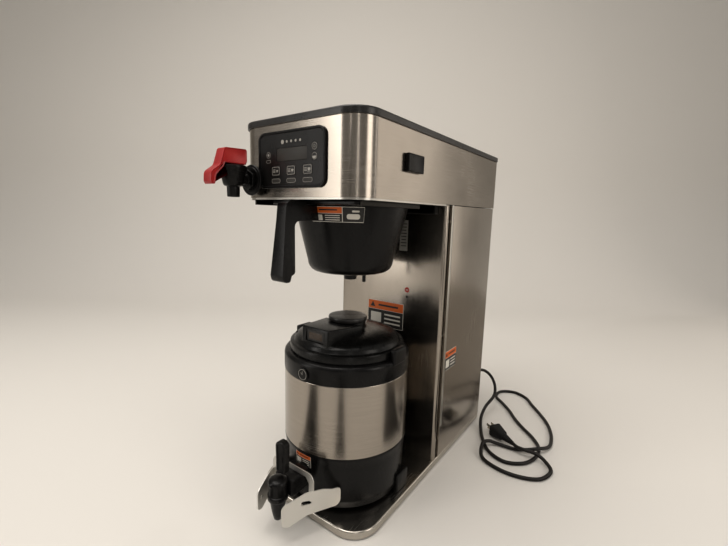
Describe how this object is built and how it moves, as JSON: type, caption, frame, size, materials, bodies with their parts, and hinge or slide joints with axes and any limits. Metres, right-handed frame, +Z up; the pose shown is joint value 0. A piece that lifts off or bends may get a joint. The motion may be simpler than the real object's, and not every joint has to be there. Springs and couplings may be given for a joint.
{
  "type": "commercial coffee brewer",
  "caption": "Tall countertop coffee brewer: stainless hood and trunk, pull-out brew funnel, hot water faucet, insulated server with its own tap, and mains cord.",
  "frame": {"origin": "middle of the brewer's footprint at the underside of its feet, on the worktop", "axes": "+Z up, the control panel and the faucets face -Y, +X is the brewer's right-hand side seen from the front"},
  "size_m": [0.4689, 0.8539, 0.678],
  "materials": {
    "brushed_stainless": "horizontally brushed",
    "plain_stainless": "satin",
    "black_polypropylene": "moulded, fine grain",
    "charcoal_abs": "moulded, satin",
    "keypad_film": "printed film",
    "red_acetal": "moulded, semi-gloss",
    "smoked_window": "smoked, polished",
    "black_rubber": "moulded",
    "cord_jacket": "extruded",
    "brass": "machined",
    "circuit_board": "lacquered",
    "nylon": "moulded",
    "silicone_tube": "extruded"
  },
  "bodies": {
    "brewer_frame": {"base_tray": "brushed_stainless", "foot_front_left": "black_rubber", "foot_front_right": "black_rubber", "foot_rear_left": "black_rubber", "foot_rear_right": "black_rubber", "trunk_front_panel": "brushed_stainless", "trunk_side_left": "brushed_stainless", "trunk_side_right": "brushed_stainless", "trunk_back_panel": "brushed_stainless", "hood_shell": "brushed_stainless", "hood_back_panel": "brushed_stainless", "hood_floor": "black_polypropylene", "top_lid": "charcoal_abs", "side_port_cover": "black_polypropylene", "control_bezel": "black_polypropylene", "control_panel": "keypad_film", "display_window": "smoked_window", "control_board": "circuit_board", "funnel_rail_left": "plain_stainless", "funnel_rail_right": "plain_stainless", "funnel_stop": "black_polypropylene", "spray_head": "nylon", "spray_tube": "silicone_tube", "spray_valve": "nylon", "water_tank": "brushed_stainless", "tank_lid": "nylon", "heating_element": "plain_stainless", "inlet_valve": "nylon", "inlet_fitting": "brass", "inlet_tube": "silicone_tube", "hot_water_tube": "silicone_tube", "hot_faucet_flange": "black_polypropylene", "hot_faucet_nut": "black_polypropylene", "hot_faucet_body": "black_polypropylene", "cord_gland": "black_rubber", "power_cord": "cord_jacket", "power_plug": "black_rubber"},
    "hot_lever": {"hot_faucet_lever": "red_acetal"},
    "brew_basket": {"brew_funnel": "black_polypropylene", "funnel_handle": "black_polypropylene", "funnel_basket": "black_polypropylene"},
    "server": {"server_base_ring": "black_polypropylene", "server_band": "brushed_stainless", "server_top_ring": "black_polypropylene", "server_liner": "plain_stainless", "server_faucet_body": "black_polypropylene", "server_faucet_bonnet": "black_polypropylene", "server_guard": "plain_stainless", "server_badge": "charcoal_abs"},
    "server_cover": {"server_lid": "black_polypropylene", "server_lid_cap": "charcoal_abs", "server_display_window": "smoked_window"},
    "server_lever": {"server_faucet_lever": "black_polypropylene"},
    "small_key": {"batch_key_small": "keypad_film"},
    "medium_key": {"batch_key_medium": "keypad_film"},
    "large_key": {"batch_key_large": "keypad_film"},
    "power_button": {"power_key": "keypad_film"},
    "bypass_button": {"bypass_key": "keypad_film"},
    "rear_switch": {"rear_power_switch": "black_polypropylene"}
  },
  "joints": [
    {"name": "funnel_slide", "type": "slide", "parent": "brewer_frame", "child": "brew_basket", "axis": [0, -1, 0], "range_m": [0, 0.25]},
    {"name": "server_slide", "type": "slide", "parent": "brewer_frame", "child": "server", "axis": [0, -1, 0], "range_m": [0, 0.1]},
    {"name": "server_lid_turn", "type": "hinge", "parent": "server", "child": "server_cover", "pos_m": [-0.0021, -0.102, 0.276], "axis": [0, 0, 1], "range_deg": [0, 30]},
    {"name": "server_lever_tip", "type": "hinge", "parent": "server", "child": "server_lever", "pos_m": [-0.0021, -0.2675, 0.1135], "axis": [1, 0, 0], "range_deg": [0, 40]},
    {"name": "hot_lever_lift", "type": "hinge", "parent": "brewer_frame", "child": "hot_lever", "pos_m": [-0.0886, -0.271, 0.6065], "axis": [-1, 0, 0], "range_deg": [0, 30]},
    {"name": "rear_switch_rock", "type": "hinge", "parent": "brewer_frame", "child": "rear_switch", "pos_m": [0.0579, 0.309, 0.1145], "axis": [1, 0, 0], "range_deg": [0, 10]},
    {"name": "small_key_press", "type": "slide", "parent": "brewer_frame", "child": "small_key", "axis": [0, 1, 0], "range_m": [0, 0.0005], "stiffness_N_per_m": 1500},
    {"name": "medium_key_press", "type": "slide", "parent": "brewer_frame", "child": "medium_key", "axis": [0, 1, 0], "range_m": [0, 0.0005], "stiffness_N_per_m": 1500},
    {"name": "large_key_press", "type": "slide", "parent": "brewer_frame", "child": "large_key", "axis": [0, 1, 0], "range_m": [0, 0.0005], "stiffness_N_per_m": 1500},
    {"name": "power_key_press", "type": "slide", "parent": "brewer_frame", "child": "power_button", "axis": [0, 1, 0], "range_m": [0, 0.0005], "stiffness_N_per_m": 1500},
    {"name": "bypass_key_press", "type": "slide", "parent": "brewer_frame", "child": "bypass_button", "axis": [0, 1, 0], "range_m": [0, 0.0005], "stiffness_N_per_m": 1500}
  ]
}
